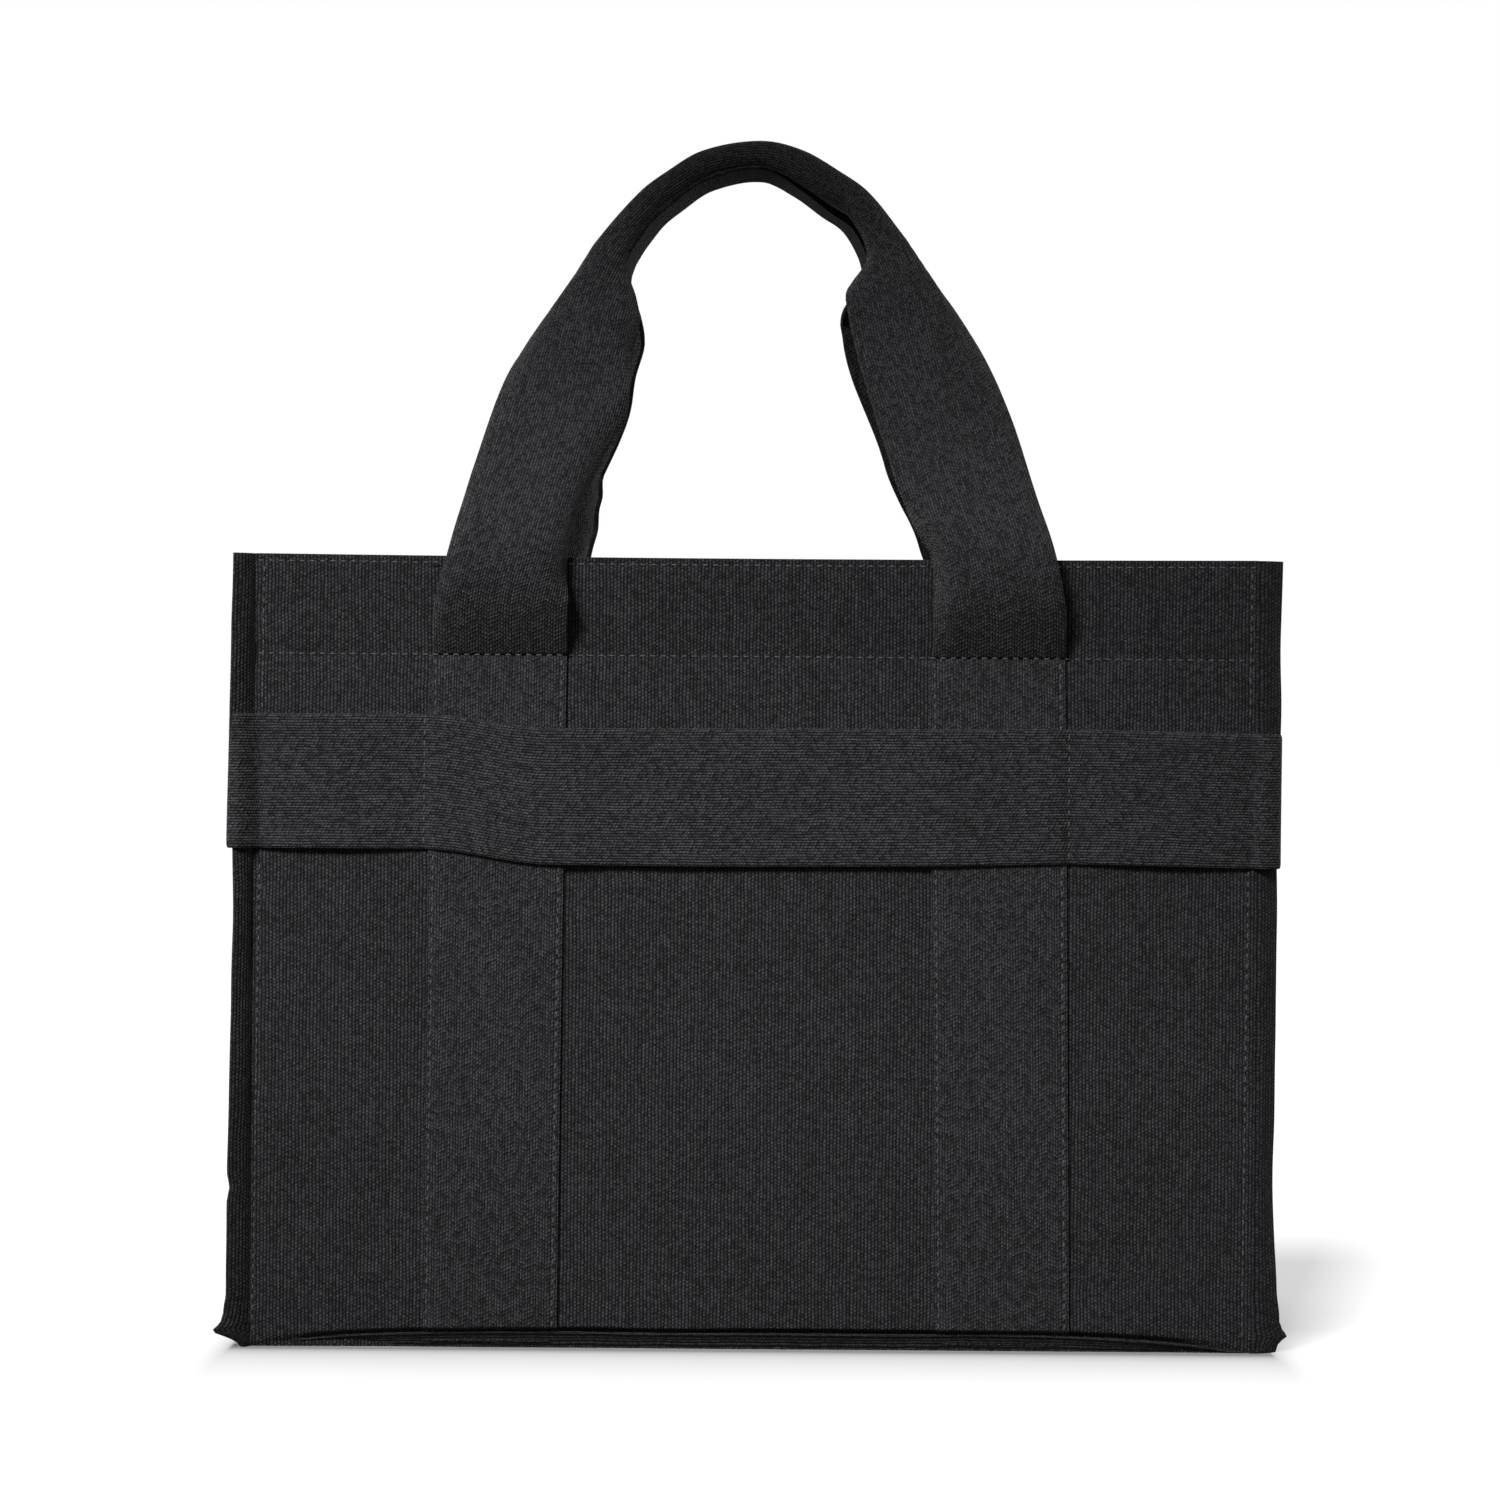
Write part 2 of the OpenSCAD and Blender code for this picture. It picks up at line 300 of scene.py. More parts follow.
def woven(name, colour, weave, cloud_scale, fuzz_scale, roughness, bump):
    """A cloth's material: weave(tree, flat) gives the height of its yarns and
    how pale they are, with painted shade between them. It is a little cloudy
    and dusty with short fibres."""
    made, tree, shader = new_material(name)
    flat = node(tree, "ShaderNodeUVMap", uv_map="weave").outputs[0]
    height, level = weave(tree, flat)
    cloud = node(tree, "ShaderNodeTexNoise", {"Vector": flat, "Scale": cloud_scale, "Detail": 4.0})
    fuzz = node(tree, "ShaderNodeTexNoise", {"Vector": flat, "Scale": fuzz_scale, "Detail": 2.0}).outputs[0]
    level = calc(tree, "MULTIPLY", level, calc(tree, "MULTIPLY_ADD", cloud.outputs[0], 0.2, 0.9))
    level = calc(tree, "MULTIPLY", level, calc(tree, "MULTIPLY", fuzz, 2.0))
    tint = node(tree, "ShaderNodeVectorMath", {0: colour, "Scale": level}, operation="SCALE")
    tree.links.new(tint.outputs[0], shader.inputs["Base Color"])
    tree.links.new(calc(tree, "MULTIPLY_ADD", fuzz, 0.15, roughness), shader.inputs["Roughness"])
    relief = calc(tree, "ADD", height, calc(tree, "MULTIPLY", fuzz, 0.35))
    strength, depth = bump
    raised = node(tree, "ShaderNodeBump", {"Strength": strength, "Distance": depth, "Height": relief})
    tree.links.new(raised.outputs[0], shader.inputs["Normal"])
    shader.inputs["Specular IOR Level"].default_value = 0.04
    shader.inputs["Sheen Weight"].default_value = 0.06
    shader.inputs["Sheen Roughness"].default_value = 0.5
    return made


def wandering(tree, flat, scale, amount):
    """A small shift of the yarns that changes over the cloth."""
    drift = node(tree, "ShaderNodeTexNoise", {"Vector": flat, "Scale": scale, "Detail": 2.0})
    return calc(tree, "MULTIPLY", calc(tree, "SUBTRACT", drift.outputs[0], 0.5), amount)


def flecked(tree, level, crossing, spread, least):
    """The cloth's paleness, with each crossing of yarns a little paler or darker than the next."""
    fleck = node(tree, "ShaderNodeTexWhiteNoise", {"Vector": crossing.outputs[0]}).outputs["Value"]
    return calc(tree, "MULTIPLY", level, calc(tree, "MULTIPLY_ADD", fleck, spread, least))


def slubbed(tree, level, lane, detail, spread, least):
    """The cloth's paleness, with longer stretches of a yarn a little paler or darker too."""
    slub = node(tree, "ShaderNodeTexNoise", {"Vector": lane.outputs[0], "Scale": 1.0, "Detail": detail})
    return calc(tree, "MULTIPLY", level, calc(tree, "MULTIPLY_ADD", slub.outputs[0], spread, least))


RIB = 1.33 * MM


def plain_weave(tree, flat):
    """Upright ribs, each crossed by the weft at the same pitch."""
    apart = node(tree, "ShaderNodeSeparateXYZ", {0: flat})
    wander = wandering(tree, flat, 70.0, 0.9)
    warp = calc(tree, "ADD", calc(tree, "MULTIPLY", apart.outputs[0], 1 / RIB), wander)
    weft = calc(tree, "ADD", calc(tree, "MULTIPLY", apart.outputs[1], 1 / RIB), wander)
    wave = calc(tree, "SINE", calc(tree, "MULTIPLY", warp, math.pi))
    beat = calc(tree, "COSINE", calc(tree, "MULTIPLY", weft, 2 * math.pi))
    over = calc(tree, "MULTIPLY", calc(tree, "MULTIPLY", wave, beat), 0.25)
    height = calc(tree, "ADD", calc(tree, "MULTIPLY", calc(tree, "ABSOLUTE", wave), 0.75), over)
    yarn = calc(tree, "FLOOR", warp)
    pick = calc(tree, "FLOOR", calc(tree, "MULTIPLY", weft, 1.3))
    crossing = node(tree, "ShaderNodeCombineXYZ", {0: yarn, 1: pick})
    lane = node(tree, "ShaderNodeCombineXYZ",
                {0: calc(tree, "MULTIPLY", yarn, 0.73), 1: calc(tree, "MULTIPLY", weft, 0.05)})
    # Paleness follows the yarns' height: painted shade in the hollows between them
    level = calc(tree, "MULTIPLY_ADD", height, 1.6, 0.1)
    level = flecked(tree, level, crossing, 0.9, 0.55)
    return height, slubbed(tree, level, lane, 3.0, 0.7, 0.65)


def canvas_material(name, colour):
    return woven(name, colour, plain_weave, cloud_scale=14.0, fuzz_scale=1500.0, roughness=0.8,
                 bump=(0.9, 0.45 * MM))


canvas = canvas_material("black_canvas", (0.0254, 0.0249, 0.0273))
panel_us = steps((-HALF_W, -HALF_W + 8 * MM, 6), (-HALF_W + 8 * MM, HALF_W - 8 * MM, 92),
                 (HALF_W - 8 * MM, HALF_W, 6))
panel_vs = steps((0, 5 * MM, 4), (5 * MM, 10 * MM, 12), (10 * MM, 252 * MM, 56), (252 * MM, 276 * MM, 24),
                 (276 * MM, 294 * MM, 6), (294 * MM, RIM, 6))


def panel_place(x, z):
    return Vector((x, -out_at(x, z), z + rim_lift(x, z)))


for side in ("front", "back"):
    panel = cloth(side + "_panel_canvas", panel_us, panel_vs, panel_place, CANVAS_T, canvas,
                  back=side == "back")
    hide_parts(side + "_panel")
    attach(panel, "bag")


# ==== Gussets ====
# The two narrow sides, of the same canvas. Nothing holds their middle, so
# they fall in a little, most of all at the rim, with a soft upright crease.
gusset_low, gusset_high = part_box("right_gusset")
SIDE = gusset_high.x
DEPTH = gusset_high.y


def side_at(y, z):
    """How far a gusset's outer face stands from the middle of the bag."""
    across = 1 - (y / DEPTH) ** 2
    fall = (1.2 + 3.2 * (z / RIM) ** 2) * MM * across
    crease = 1.4 * MM * bell(y, 7 * MM) * (z / RIM) ** 2
    hem = 0.6 * MM * bell(z - HEM, 6 * MM)
    uneven = noise.noise(Vector((y * 14, z * 8, 21.0))) * 0.8 * MM * across
    return SIDE - fall - crease - hem * across + uneven * min(z / (30 * MM), 1)


side_us = steps((-DEPTH, -DEPTH + 6 * MM, 4), (-DEPTH + 6 * MM, DEPTH - 6 * MM, 46),
                (DEPTH - 6 * MM, DEPTH, 4))
for side, sign in (("right", 1), ("left", -1)):
    def gusset_place(u, z, sign=sign):
        return Vector((sign * side_at(u, z), sign * u, z))

    gusset = cloth(side + "_gusset_canvas", side_us, panel_vs, gusset_place, CANVAS_T, canvas)
    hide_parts(side + "_gusset")
    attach(gusset, "bag")


# ==== Base panel and stiffening board ====
# The base is one more piece of canvas, flat on the floor. A loose black
# board with a light grain lies on it and keeps the foot of the bag straight.
base_low, base_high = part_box("base_panel")
BASE_INSET = 3 * MM


def base_place(x, y):
    return Vector((x, y, base_high.z))


base_us = steps((base_low.x + BASE_INSET, base_high.x - BASE_INSET, 48))
base_vs = steps((base_low.y + BASE_INSET, base_high.y - BASE_INSET, 20))
base = cloth("base_panel_canvas", base_us, base_vs, base_place, base_high.z, canvas)
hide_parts("base_panel")
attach(base, "bag")

board_material, tree, shader = new_material("black_board")
place = node(tree, "ShaderNodeTexCoord").outputs["Object"]
grain = node(tree, "ShaderNodeTexNoise", {"Vector": place, "Scale": 900.0, "Detail": 4.0})
scuff = node(tree, "ShaderNodeTexNoise", {"Vector": place, "Scale": 30.0, "Detail": 6.0})
shade = calc(tree, "MULTIPLY_ADD", scuff.outputs[0], 0.8, 0.6)
tint = node(tree, "ShaderNodeVectorMath", {0: (0.02, 0.02, 0.02), "Scale": shade}, operation="SCALE")
tree.links.new(tint.outputs[0], shader.inputs["Base Color"])
rough = calc(tree, "MULTIPLY_ADD", scuff.outputs[0], 0.3, 0.35)
tree.links.new(rough, shader.inputs["Roughness"])
bump = node(tree, "ShaderNodeBump", {"Strength": 0.4, "Distance": 0.15 * MM, "Height": grain.outputs[0]})
tree.links.new(bump.outputs[0], shader.inputs["Normal"])
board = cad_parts["base_board"]
for slot in board.material_slots:
    slot.material = board_material


# ==== Facings ====
# A band of canvas sewn inside the rim all the way round. Its raw edge hangs
# free just under the stitching.
FACING_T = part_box("front_facing")[1].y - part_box("front_facing")[0].y
facing_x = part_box("front_facing")[1].x
facing_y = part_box("right_facing")[1].y
facing_vs = steps((HEM, 276 * MM, 10), (276 * MM, 294 * MM, 6), (294 * MM, RIM, 6))


def facing_place(u, z):
    # Seen from inside the bag, so u runs the other way from x
    return Vector((-u, CANVAS_T + FACING_T - out_at(-u, z), z + rim_lift(-u, z)))


facing_us = steps((-facing_x, facing_x, 84))
for side in ("front", "back"):
    facing = cloth(side + "_facing_canvas", facing_us, facing_vs, facing_place, FACING_T, canvas,
                   back=side == "back")
    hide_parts(side + "_facing")
    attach(facing, "bag")

for side, sign in (("right", 1), ("left", -1)):
    def side_facing_place(u, z, sign=sign):
        return Vector((sign * (side_at(u, z) - CANVAS_T - FACING_T), -sign * u, z))

    facing = cloth(side + "_facing_canvas", steps((-facing_y, facing_y, 40)), facing_vs,
                   side_facing_place, FACING_T, canvas)
    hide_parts(side + "_facing")
    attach(facing, "bag")


# ==== Corner seams ====
# Panel and gusset are sewn together right sides out, turned and topstitched,
# so each corner has a folded flange that stands out. It is wavy, with a
# valley along its stitching, and ends in an ear at the foot.
FLANGE_T = 2.4 * MM
FOLDED = 22 * MM
SEAM_LAYER = 1.1 * MM
# A folded edge's front layer ends, and its back layer begins, at these shares of its cloth
NOSE_START, NOSE_END = 0.42, 0.58
# The corner flanges' canvas is painted a little darker than the rest, as shade
seam_canvas = canvas_material("black_seam_canvas_painted_shade", (0.0208, 0.0203, 0.0223))
# The left one stands forward, the right one lies back
FORWARD = {"left": math.radians(36), "right": math.radians(-30)}
# How far each one reaches out at a height, in millimetres: (height, reach)
FLANGE_REACH = {"left": [(0, 3.5), (2, 5), (4, 10), (6.5, 15), (10, 11.5), (13.5, 10.5), (21, 9.5),
                         (96, 9.5), (134, 8.5), (183, 8.5), (255, 10), (290, 9)],
                "right": [(0, 11), (3, 12), (6, 16), (8.5, 13.5), (12, 12), (24, 10.5), (96, 9.5),
                          (134, 10), (183, 10.5), (255, 11.5)]}


def flange_place(u, z, sign, side, seed, dent):
    """A point of a flange: u goes out along its front layer, round its fold and
    back. dent is how far its edge is pressed in at one place."""
    s = u / FOLDED if sign > 0 else 1 - u / FOLDED
    reach = eased(FLANGE_REACH[side], z / MM) * MM + 0.35 * MM * noise.noise(Vector((z * 40, seed, 0)))
    reach -= dent * bell(z - 61 * MM, 3.5 * MM)
    turn = FORWARD[side] + 0.2 * noise.noise(Vector((z * 22, seed, 5)))
    r = FLANGE_T / 2
    run = reach - r
    if s < NOSE_START:
        tuck = 1.6 * MM if turn > 0 else 0.5 * MM
        out = s / NOSE_START * (run + tuck) - tuck
        part = max(out, 0) / run
        off = 2.4 * MM * part * (1 - part) - eased([(0, 0.9 * MM), (2.6 * MM, 0)], out)
        off += 0.4 * MM * noise.noise(Vector((z * 60, seed, out * 120))) * min(part * 3, 1)
    elif s > NOSE_END:
        out, off = (1 - s) / (1 - NOSE_END) * run, -2 * r
    else:
        a = (s - NOSE_START) / (NOSE_END - NOSE_START) * math.pi
        out, off = run + r * math.sin(a), -r + r * math.cos(a)
    x = HALF_W + out * math.cos(turn) - off * math.sin(turn)
    y = -FACE - out * math.sin(turn) - off * math.cos(turn)
    return Vector((sign * x, y, z))


flange_us = [s * FOLDED for s in steps((0, NOSE_START, 12), (NOSE_START, NOSE_END, 8), (NOSE_END, 1, 5))]
flange_vs = steps((0, 20 * MM, 14), (20 * MM, RIM, 110))
for depth in ("front", "back"):
    for side, sign in (("left", -1), ("right", 1)):
        seed = 3.7 * sign + (40 if depth == "back" else 0)
        dent = 1.2 * MM if (depth, side) == ("front", "left") else 0

        def seam_place(u, z, sign=sign, side=side, seed=seed, dent=dent):
            p = flange_place(u, z, sign, side, seed, dent)
            p.z += rim_lift(HALF_W, z)
            return p

        seam = cloth(f"{depth}_{side}_seam_canvas", flange_us, flange_vs, seam_place, SEAM_LAYER,
                     seam_canvas, edge=0.3 * MM, back=depth == "back")
        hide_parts(f"{depth}_{side}_seam")
        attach(seam, "bag")


# ==== Base seams ====
# The panels and the base are joined in the same way. The foot of each panel
# turns under, and a thin folded edge shows below it, just off the floor. It
# wavers, and it draws in towards the corners, where the ears take over.
side_seam_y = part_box("right_base_seam")[1].y
LIP_FOLDED = 14 * MM
LIP_ROUND = 0.42 * MM


def fold_place(u, along, reach, high, seed):
    """Across a flange at the floor: u goes out on top, round the nose and back below."""
    s = u / LIP_FOLDED
    reach += 0.3 * MM * noise.noise(Vector((along * 24, seed, 0)))
    r = LIP_ROUND
    high = max(high, 2.2 * r) + 0.3 * MM * noise.noise(Vector((along * 16, seed, 7)))
    if s < NOSE_START:
        return -4 * MM + (reach - r + 4 * MM) * s / NOSE_START, high
    if s > NOSE_END:
        t = (s - NOSE_END) / (1 - NOSE_END)
        return reach - r - t * 3 * MM, (high - 2 * r) * max(1 - t, 0) ** 0.7
    a = (s - NOSE_START) / (NOSE_END - NOSE_START) * math.pi
    return reach - r + r * math.sin(a), high - r + r * math.cos(a)


# How far the front one stands out: (x, reach)
LIP_REACH = [(-191 * MM, -2.5 * MM), (-168 * MM, -1.5 * MM), (-120 * MM, 0.8 * MM), (145 * MM, 1 * MM),
             (191 * MM, -1 * MM)]
lip_us = [s * LIP_FOLDED for s in steps((0, NOSE_START, 7), (NOSE_START, NOSE_END, 8), (NOSE_END, 1, 5))]


def front_lip(s, x):
    out, z = fold_place(s, x, eased(LIP_REACH, x), foot_line(x) - 1.1 * MM, 1.3)
    return Vector((x, -FACE - out, z))


lip_vs = steps((-HALF_W, HALF_W, 150))
for side in ("front", "back"):
    lip = cloth(side + "_base_seam_canvas", lip_us, lip_vs, front_lip, SEAM_LAYER, canvas,
                edge=0.3 * MM, back=side == "back")
    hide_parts(side + "_base_seam")
    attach(lip, "bag")

for side, sign in (("right", 1), ("left", -1)):
    def side_lip(s, y, sign=sign):
        out, z = fold_place(s, y, 1.5 * MM, 5.6 * MM, 9.1 * sign)
        return Vector((sign * (HALF_W + out), sign * y, z))

    lip = cloth(side + "_base_seam_canvas", lip_us, steps((-side_seam_y, side_seam_y, 60)), side_lip,
                SEAM_LAYER, canvas, edge=0.3 * MM)
    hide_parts(side + "_base_seam")
    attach(lip, "bag")


# ==== Straps ====
# Heavy cotton webbing, sewn flat to the panels along both its edges, from
# the base seam up to the facing's stitching. The stitching sinks into it.
FLOAT_W, FLOAT_L = 1.05 * MM, 1.5 * MM


def twill(tree, flat, grip):
    """Short raised floats along the webbing, stepped so that they run in
    slanting lines both ways. It is painted darker round the length along it
    that grip gives: painted shade for the light that fades at the grip."""
    apart = node(tree, "ShaderNodeSeparateXYZ", {0: flat})
    wander = wandering(tree, flat, 90.0, 0.7)
    across = calc(tree, "ADD", calc(tree, "MULTIPLY", apart.outputs[0], 1 / FLOAT_W), wander)
    along = calc(tree, "ADD", calc(tree, "MULTIPLY", apart.outputs[1], 1 / FLOAT_L), wander)
    lane = calc(tree, "FLOOR", across)
    step = calc(tree, "MULTIPLY", calc(tree, "PINGPONG", lane, 4.0), 0.3)
    stepped = calc(tree, "ADD", along, step)
    float_wave = calc(tree, "COSINE", calc(tree, "MULTIPLY", stepped, 2 * math.pi))
    round_yarn = calc(tree, "ABSOLUTE", calc(tree, "SINE", calc(tree, "MULTIPLY", across, math.pi)))
    height = calc(tree, "MULTIPLY", round_yarn, calc(tree, "MULTIPLY_ADD", float_wave, 0.3, 0.7))
    crossing = node(tree, "ShaderNodeCombineXYZ", {0: lane, 1: calc(tree, "FLOOR", stepped)})
    yarn = node(tree, "ShaderNodeCombineXYZ",
                {0: calc(tree, "MULTIPLY", lane, 0.9), 1: calc(tree, "MULTIPLY", along, 0.25)})
    # Paleness follows the floats' height: painted shade in the hollows between them
    level = calc(tree, "MULTIPLY_ADD", height, 1.5, 0.38)
    level = flecked(tree, level, crossing, 1.0, 0.5)
    level = slubbed(tree, level, yarn, 2.0, 0.3, 0.85)
    # Painted shade: darker round the grip, where the light fades
    if grip:
        from_grip = calc(tree, "ABSOLUTE", calc(tree, "SUBTRACT", apart.outputs[1], grip))
        painted_grip_shade = ramp(tree, from_grip, 30 * MM, 80 * MM, 0.6, interpolation_type="SMOOTHSTEP")
        level = calc(tree, "MULTIPLY", level, painted_grip_shade)
    return height, level


def webbing_material(name, colour, grip=None):
    def weave(tree, flat):
        return twill(tree, flat, grip)

    return woven(name, colour, weave, cloud_scale=16.0, fuzz_scale=1400.0, roughness=0.75,
                 bump=(1.0, 0.5 * MM))


WEBBING_BLACK = (0.0252, 0.0247, 0.0271)
webbing = webbing_material("black_webbing", WEBBING_BLACK)
strap_low, strap_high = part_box("front_right_strap")
STRAP_W = strap_high.x - strap_low.x
HALF_STRAP = STRAP_W / 2
STRAP_X = (strap_high.x + strap_low.x) / 2
WEB_T = strap_high.y - strap_low.y
SEW_IN = 1.8 * MM

# Sewn by hand and eye, each strap is a few millimetres out: (height, shift)
STRAP_OFF = {"left": [(0, -4 * MM), (264 * MM, -2 * MM)], "right": [(0, -1 * MM), (264 * MM, -4.5 * MM)]}


def strap_mid(side, z):
    sign = -1 if side == "left" else 1
    (z0, a), (z1, b) = STRAP_OFF[side]
    return sign * STRAP_X + a + (b - a) * min(z / z1, 1)


def web_swell(u):
    """Webbing is thinner at its selvedges and sinks where it is stitched."""
    inwards = HALF_STRAP - abs(u)
    return -0.35 * MM * bell(inwards, 1.0 * MM) - 0.35 * MM * bell(inwards - SEW_IN, 0.9 * MM)


flat_to = HALF_STRAP - 5 * MM
web_us = steps((-HALF_STRAP, -flat_to, 8), (-flat_to, flat_to, 12), (flat_to, HALF_STRAP, 8))
strap_vs = steps((strap_low.z, 10 * MM, 12), (10 * MM, 252 * MM, 60), (252 * MM, strap_high.z, 12))
for depth in ("front", "back"):
    for side in ("left", "right"):
        def strap_place(u, z, side=side):
            x = strap_mid(side, z) + u
            return Vector((x, -out_at(x, z) - WEB_T - web_swell(u), z))

        strap = cloth(f"{depth}_{side}_strap_webbing", web_us, strap_vs, strap_place, WEB_T + 0.3 * MM,
                      webbing, edge=0.35 * MM, back=depth == "back")
        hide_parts(f"{depth}_{side}_strap")
        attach(strap, "bag")


# ==== Belt ====
# One run of the same webbing right round the bag. It is sewn down at the
# corner seams and along the straps' outer edges and is loose in between, so
# it stands off the panels there and dips where the stitching holds it.
belt_low, belt_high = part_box("belt")
BELT_W = belt_high.z - belt_low.z
BELT_Z = (belt_high.z + belt_low.z) / 2
LOOP_RISE = -belt_low.y - FACE - WEB_T
LEFT_SEWN = strap_mid("left", BELT_Z) - HALF_STRAP - 1.5 * MM
RIGHT_SEWN = strap_mid("right", BELT_Z) + HALF_STRAP + 1.5 * MM
# The belt's webbing is a touch paler than the straps' and handles'
belt_webbing = webbing_material("black_belt_webbing", (0.0272, 0.0267, 0.0293))


def loop_rise(x):
    """Gap between the panel and the loose middle of the belt."""
    mid = (LEFT_SEWN + RIGHT_SEWN) / 2
    reach = (RIGHT_SEWN - LEFT_SEWN) / 2
    across = min(abs(x - mid) / reach, 1)
    over = WEB_T * min(max((1 - across) * reach / (3 * MM), 0), 1)
    over -= 0.7 * WEB_T * eased([(0, 0), (16 * MM, 1)], 70 * MM - abs(x))
    return over + 0.12 * (LOOP_RISE - WEB_T) * (1 - across ** 2)


def belt_outline():
    """The belt's inner face from above, anticlockwise from the front's left."""
    front = []
    count = 60
    for i in range(count + 1):
        x = -HALF_W + 2 * HALF_W * i / count
        slack = 1.4 * MM * math.sin(math.pi * min(max((abs(x) - 124 * MM) / (67 * MM), 0), 1))
        front.append((x, -out_at(x, BELT_Z) - loop_rise(x) - slack))
    # Round the flanges' tips, in millimetres out from the corner: (out, forward)
    tips = {"right": [(1.2, 1.2), (3.4, 1.6), (6.4, 0.2), (8.3, -2.6), (7, -6), (1, -14)],
            "left": [(1.4, 1.8), (5.6, 5), (8, 4.8), (8.2, 1), (1, -12)]}
    tips = {side: [(HALF_W + a * MM, -FACE - b * MM) for a, b in tips[side]] for side in tips}
    right = list(tips["right"])
    for i in range(9):
        y = (FACE - 20 * MM) * (i / 4 - 1)
        right.append((side_at(y, BELT_Z) + 0.3 * MM, y))
    right += [(x, -y) for x, y in reversed(tips["right"])]
    back = [(x, -y) for x, y in reversed(front)]
    left = [(-x, -y) for x, y in tips["left"]]
    for i in range(9):
        y = (FACE - 20 * MM) * (1 - i / 4)
        left.append((-side_at(y, BELT_Z) - 0.3 * MM, y))
    left += [(-x, y) for x, y in reversed(tips["left"])]
    return front + right + back + left


def walked(points, pace, passes):
    """A closed outline, walked in even paces with its corners eased."""
    ring = points + [points[0]]
    lengths = [0]
    for a, b in zip(ring, ring[1:]):
        lengths.append(lengths[-1] + math.dist(a, b))
    count = round(lengths[-1] / pace)
    even = []
    k = 0
    for i in range(count):
        at = lengths[-1] * i / count
        while lengths[k + 1] < at:
            k += 1
        t = (at - lengths[k]) / (lengths[k + 1] - lengths[k])
        even.append(Vector(ring[k]).lerp(Vector(ring[k + 1]), t))
    for _ in range(passes):
        even = [(even[i - 1] + 2 * p + even[(i + 1) % count]) / 4 for i, p in enumerate(even)]
    return even


outline = walked(belt_outline(), 1.6 * MM, 3)
belt_run = len(outline)
belt_length = sum((outline[i] - outline[i - 1]).length for i in range(belt_run))
# How much higher or lower than its CAD height the belt is sewn, along the front
BELT_DRIFT = [(-200 * MM, 4.2 * MM), (-127 * MM, 4.4 * MM), (-78 * MM, -0.6 * MM), (60 * MM, 0.0),
              (121 * MM, 0.3 * MM), (205 * MM, -1 * MM)]


def belt_out(i):
    """The way out from the bag at a point of the belt's outline."""
    a, b = outline[i - 1], outline[(i + 1) % belt_run]
    d = (b - a).normalized()
    return Vector((d.y, -d.x))


def belt_lift(p):
    """The front's drift, carried round to the back where the two ends meet level."""
    front = eased(BELT_DRIFT, p.x)
    ends = 4.2 * MM if p.x < 0 else -1 * MM
    share = min(max((-p.y - 60 * MM) / (15 * MM), 0), 1)
    side = ends * (1 - min(max((p.y + 75 * MM) / (150 * MM), 0), 1))
    return front * share + side * (1 - share)


def sewn_dip(p):
    """1 where a column of stitches holds the belt down, 0 away from it."""
    near = min(abs(p.x - LEFT_SEWN), abs(p.x - RIGHT_SEWN), abs(abs(p.x) - HALF_W + 2.7 * MM))
    return bell(near, 1.6 * MM)


def belt_place(i, v):
    i = round(i) % belt_run
    p = outline[i]
    out = belt_out(i)
    tilt = -0.02 * v * (0.3 + loop_rise(p.x) / LOOP_RISE if abs(p.y) > FACE else 0.0)
    crown = WEB_T + tilt - 0.7 * MM * sewn_dip(p)
    crown -= 0.35 * MM * bell(BELT_W / 2 - abs(v), 1.0 * MM)
    ripple = 0.7 * MM * noise.noise(Vector((p.x * 20, p.y * 20, v * 18)))
    p = p + out * (crown + ripple * (1 - sewn_dip(p)))
    sag = 1.2 * MM * (1 - min(abs(p.x) / (115 * MM), 1) ** 2) * (1 if abs(p.y) > FACE else 0)
    return Vector((p.x, p.y, BELT_Z + v + belt_lift(p) - sag * (0.5 - v / BELT_W)))


half_belt = BELT_W / 2
belt_vs = steps((-half_belt, -half_belt + 4 * MM, 5), (-half_belt + 4 * MM, half_belt - 4 * MM, 14),
                (half_belt - 4 * MM, half_belt, 5))
belt = cloth("belt_webbing", list(range(belt_run + 1)), belt_vs, belt_place, WEB_T, belt_webbing,
             edge=0.6 * MM, along_u=True)
bm = bmesh.new()
bm.from_mesh(belt.data)
flat = bm.loops.layers.uv["weave"]
for f in bm.faces:
    for corner in f.loops:
        corner[flat].uv.y *= belt_length / belt_run
bmesh.ops.remove_doubles(bm, verts=bm.verts, dist=1e-6)
bm.to_mesh(belt.data)
bm.free()
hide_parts("belt")
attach(belt, "bag")


# ==== Handles ====
# Each handle is the straps' webbing carried on above the facing's stitching. It
# leans back over the rim, and higher up both its edges curl behind until it is
# a flat roll at the grip. The inner edge tucks under in a sudden pinch.
# How far the webbing leans back for each metre up, and where it starts from
LEAN = 0.362
LEG_OUT = 82.3 * MM
